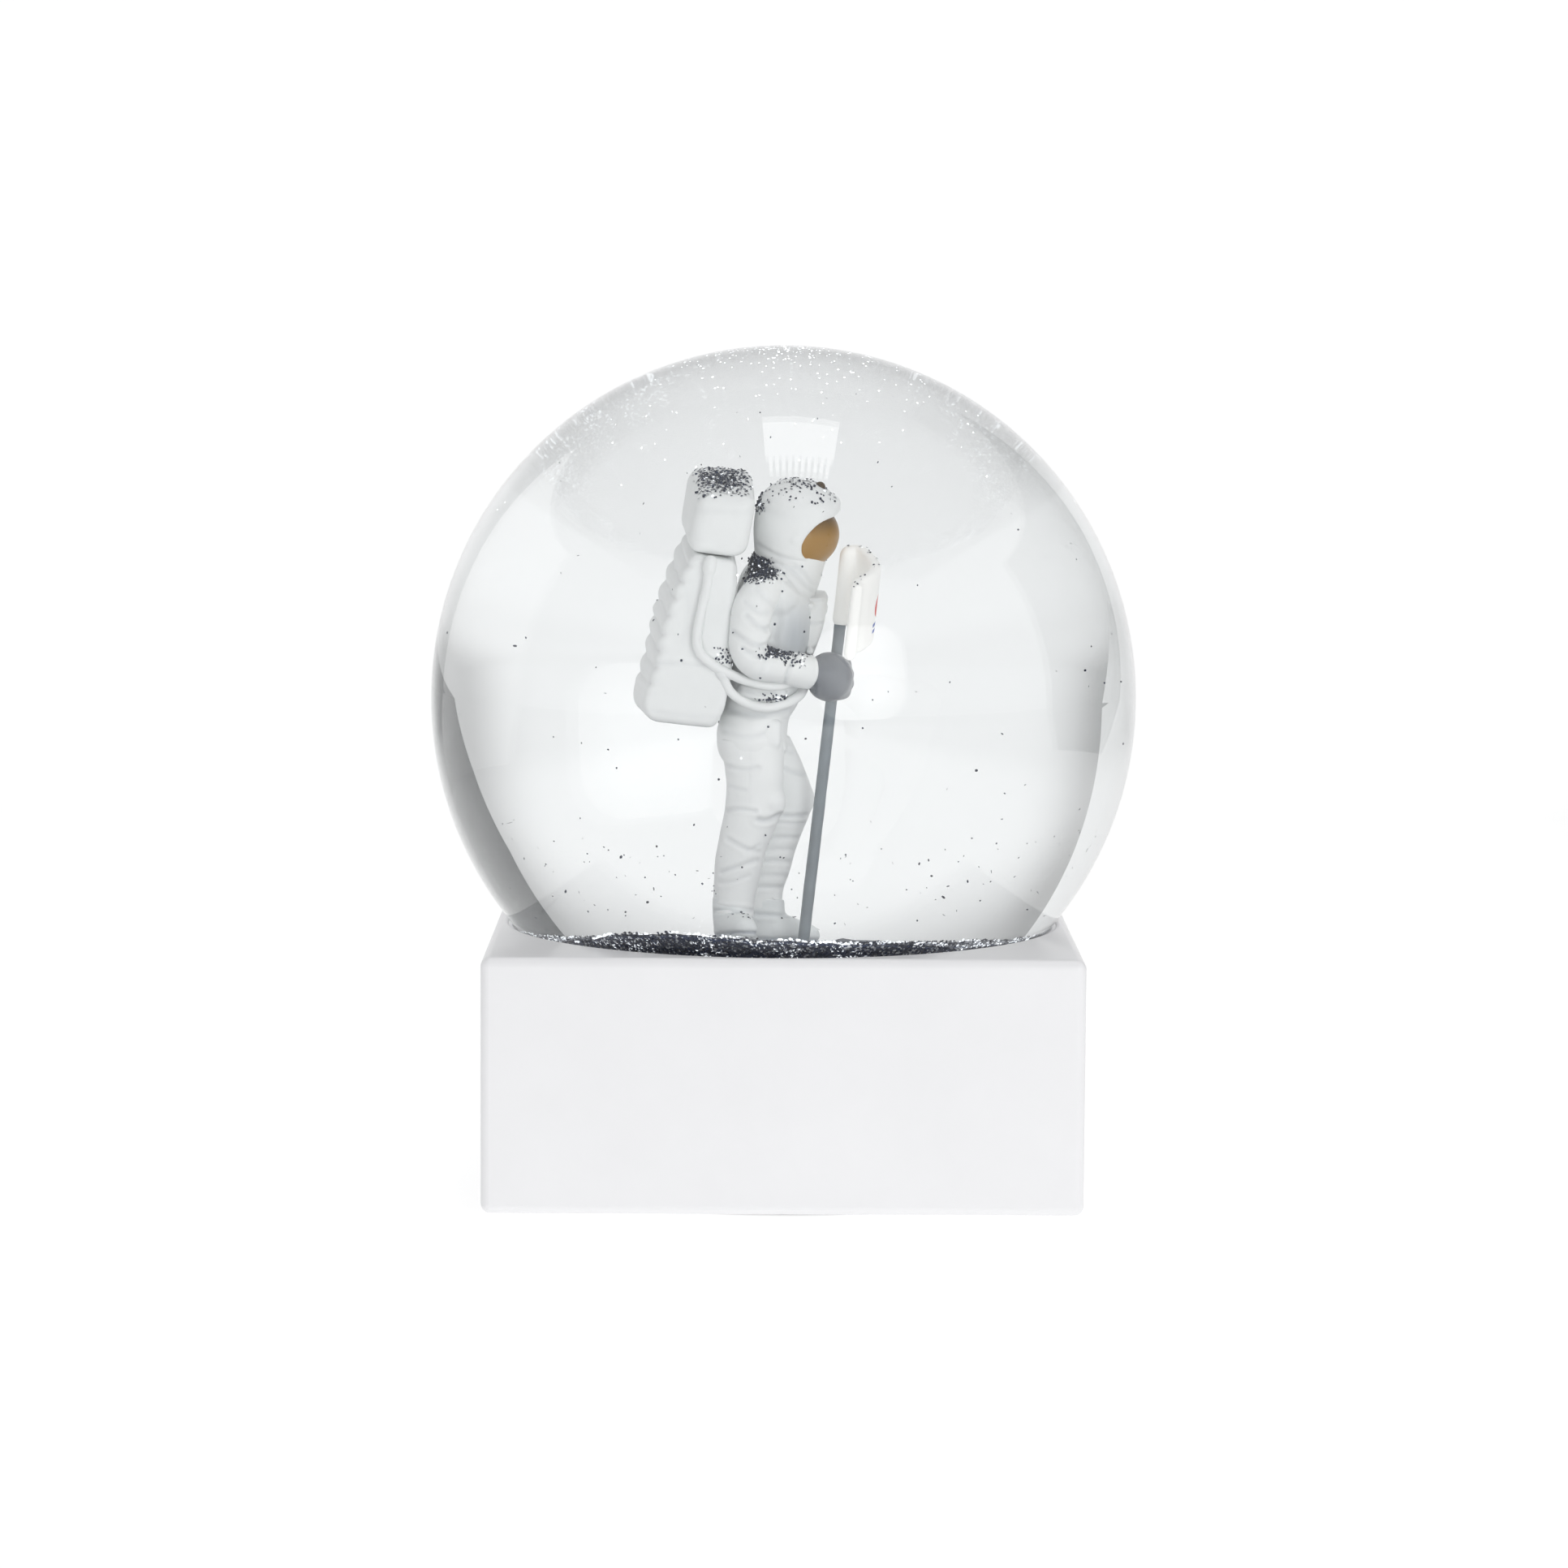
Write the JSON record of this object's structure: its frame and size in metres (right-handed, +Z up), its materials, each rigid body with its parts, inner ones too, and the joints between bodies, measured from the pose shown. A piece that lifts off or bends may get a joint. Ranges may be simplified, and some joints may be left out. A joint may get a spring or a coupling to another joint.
{
  "type": "snow globe",
  "caption": "Liquid-filled glass globe on a square base, holding an astronaut figure with a flag on moon ground and loose glitter.",
  "frame": {"origin": "middle of the base pad's underside, on the surface that the globe stands on", "axes": "+Z up through the middle of the ball, +X the way the astronaut faces, -Y the front side of the square base"},
  "size_m": [0.12, 0.12, 0.1405],
  "materials": {
    "base_white": "satin white cast resin",
    "cover_white": "matt white moulded plastic",
    "pad_felt": "black pressed felt",
    "glass_clear": "clear blown glass",
    "seal_silicone": "cured clear silicone",
    "stopper_rubber": "black moulded rubber",
    "ground_grey": "painted cast resin, moon-dust grey",
    "glitter_dark": "settled dark metallised polyester glitter",
    "suit_white": "painted cast resin, satin white with a grey wash",
    "boot_white": "painted cast resin, satin off-white",
    "flag_white": "painted cast resin, white with a plain emblem",
    "visor_gold": "gloss gold-bronze paint",
    "glove_grey": "satin blue-grey paint",
    "pole_grey": "satin grey paint on steel wire",
    "liquid_clear": "clear water"
  },
  "bodies": {
    "root": {"base_block": "base_white", "base_cover": "cover_white", "base_pad": "pad_felt", "glass_ball": "glass_clear", "neck_seal": "seal_silicone", "rubber_stopper": "stopper_rubber", "moon_ground": "ground_grey", "glitter_bed": "glitter_dark", "flag_pole": "pole_grey", "flag": "flag_white", "suit_torso": "suit_white", "suit_hips": "suit_white", "neck_ring": "suit_white", "gold_visor": "visor_gold", "helmet": "suit_white", "life_support_pack": "suit_white", "oxygen_pack": "suit_white", "chest_pack": "suit_white", "right_leg": "suit_white", "left_leg": "suit_white", "right_boot": "boot_white", "left_boot": "boot_white", "right_arm": "suit_white", "left_arm": "suit_white", "right_glove": "glove_grey", "left_glove": "glove_grey", "right_upper_hose": "suit_white", "left_upper_hose": "suit_white", "right_lower_hose": "suit_white", "left_lower_hose": "suit_white", "liquid_fill": "liquid_clear"}
  },
  "joints": []
}
